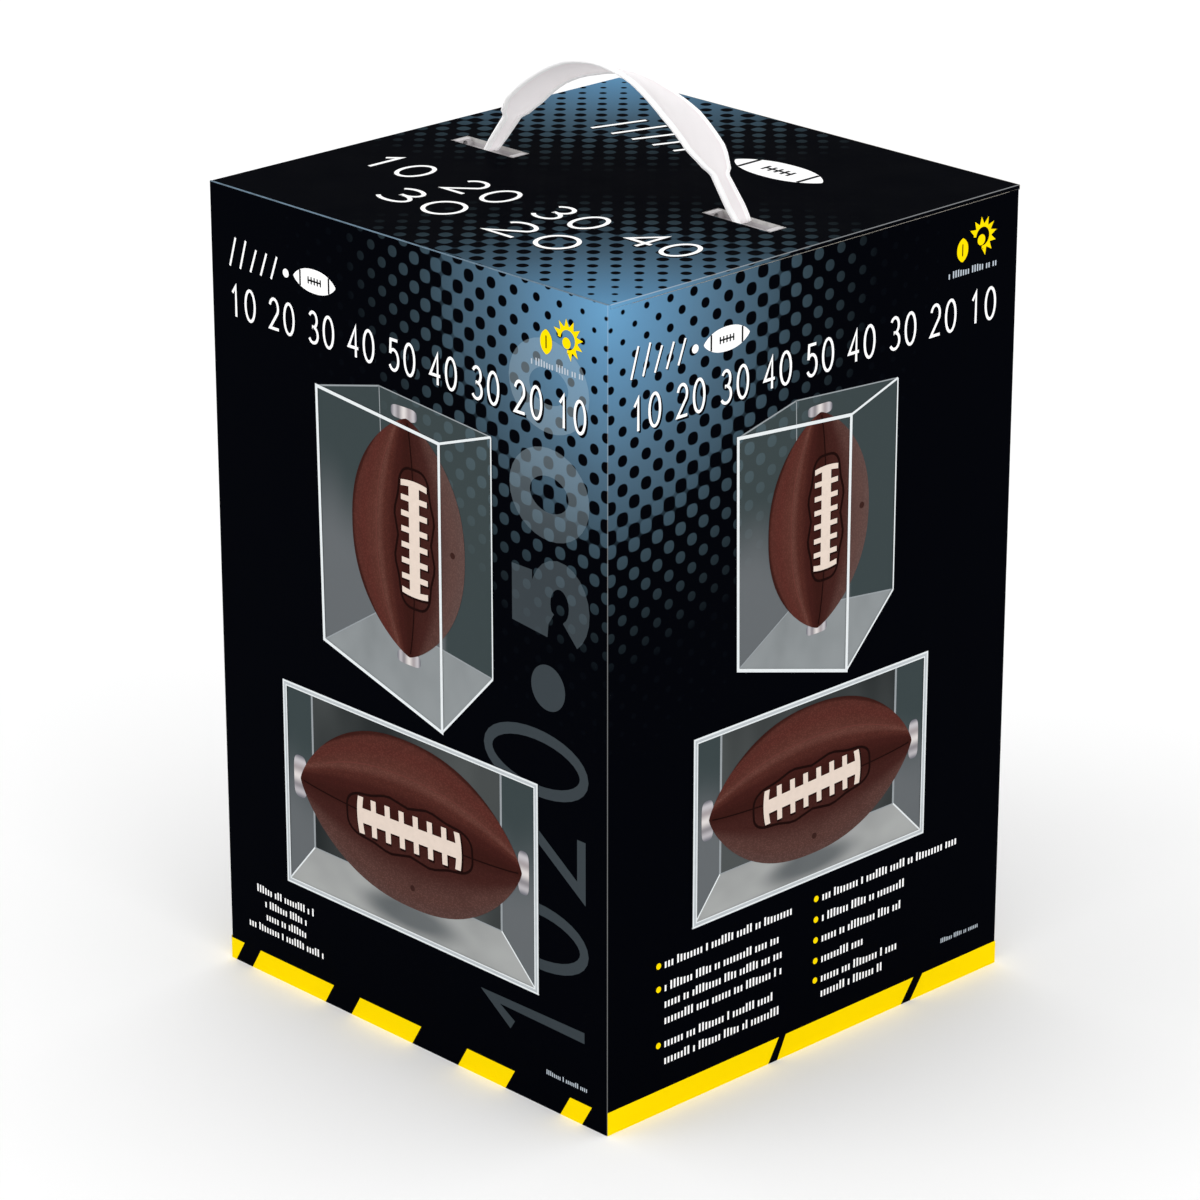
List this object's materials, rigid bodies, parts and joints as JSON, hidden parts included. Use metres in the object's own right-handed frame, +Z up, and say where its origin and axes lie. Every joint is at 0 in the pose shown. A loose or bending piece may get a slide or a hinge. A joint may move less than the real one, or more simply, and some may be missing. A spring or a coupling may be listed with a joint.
{
  "type": "football display case",
  "caption": "Printed tuck-top carton with a moulded carry handle, packed with a clear sliding display case whose cradle cups hold an American football.",
  "frame": {"origin": "on the surface the carton stands on, under the middle of its base", "axes": "+Z up, +X to the right along the lid's hinge and the handle, -Y towards the front wall where the lid tucks in"},
  "size_m": [0.204, 0.204, 0.35],
  "materials": {
    "printed_board": "gloss",
    "plain_board": "matte",
    "clear_acrylic": "polished",
    "packing_foam": "matte",
    "anchor_plastic": "satin",
    "strap_plastic": "satin"
  },
  "bodies": {
    "carton": {"front_panel": "printed_board", "back_panel": "printed_board", "left_panel": "printed_board", "right_panel": "printed_board", "glue_flap": "plain_board", "bottom_flap_front": "plain_board", "bottom_flap_back": "plain_board", "bottom_flap_left": "plain_board", "bottom_flap_right": "plain_board", "cover_front": "clear_acrylic", "cover_left": "clear_acrylic", "cover_right": "clear_acrylic", "cover_top": "clear_acrylic", "cover_bottom": "clear_acrylic", "tray_back": "clear_acrylic", "tray_left": "clear_acrylic", "tray_right": "clear_acrylic", "tray_top": "clear_acrylic", "tray_bottom": "clear_acrylic", "cradle_cup_bottom": "clear_acrylic", "cradle_cup_top": "clear_acrylic", "corner_pad_front_left": "packing_foam", "corner_pad_front_right": "packing_foam", "corner_pad_back_left": "packing_foam", "corner_pad_back_right": "packing_foam"},
    "lid": {"lid_panel": "printed_board", "handle_anchor_left": "anchor_plastic", "handle_anchor_right": "anchor_plastic"},
    "tuck": {"tuck_flap": "printed_board"},
    "dust_left": {"dust_flap_left": "printed_board"},
    "dust_right": {"dust_flap_right": "printed_board"},
    "handle": {"handle_strap": "strap_plastic"}
  },
  "joints": [
    {"name": "lid_hinge", "type": "hinge", "parent": "carton", "child": "lid", "pos_m": [0, 0.102, 0.304], "axis": [-1, 0, 0], "range_deg": [0, 200]},
    {"name": "tuck_fold", "type": "hinge", "parent": "lid", "child": "tuck", "pos_m": [0, -0.1003, 0.304], "axis": [-1, 0, 0], "range_deg": [0, 70]},
    {"name": "dust_left_fold", "type": "hinge", "parent": "carton", "child": "dust_left", "pos_m": [-0.102, 0, 0.30235], "axis": [0, -1, 0], "range_deg": [0, 130]},
    {"name": "dust_right_fold", "type": "hinge", "parent": "carton", "child": "dust_right", "pos_m": [0.102, 0, 0.30235], "axis": [0, 1, 0], "range_deg": [0, 130]},
    {"name": "handle_swing", "type": "hinge", "parent": "lid", "child": "handle", "pos_m": [0, 0, 0.3024], "axis": [1, 0, 0], "range_deg": [-40, 40], "stiffness_Nm_per_rad": 0.02}
  ],
  "couplings": [
    {"joint": "tuck_fold", "follows": "lid_hinge", "ratio": 0.35},
    {"joint": "dust_left_fold", "follows": "lid_hinge", "ratio": 0.65},
    {"joint": "dust_right_fold", "follows": "lid_hinge", "ratio": 0.65}
  ]
}
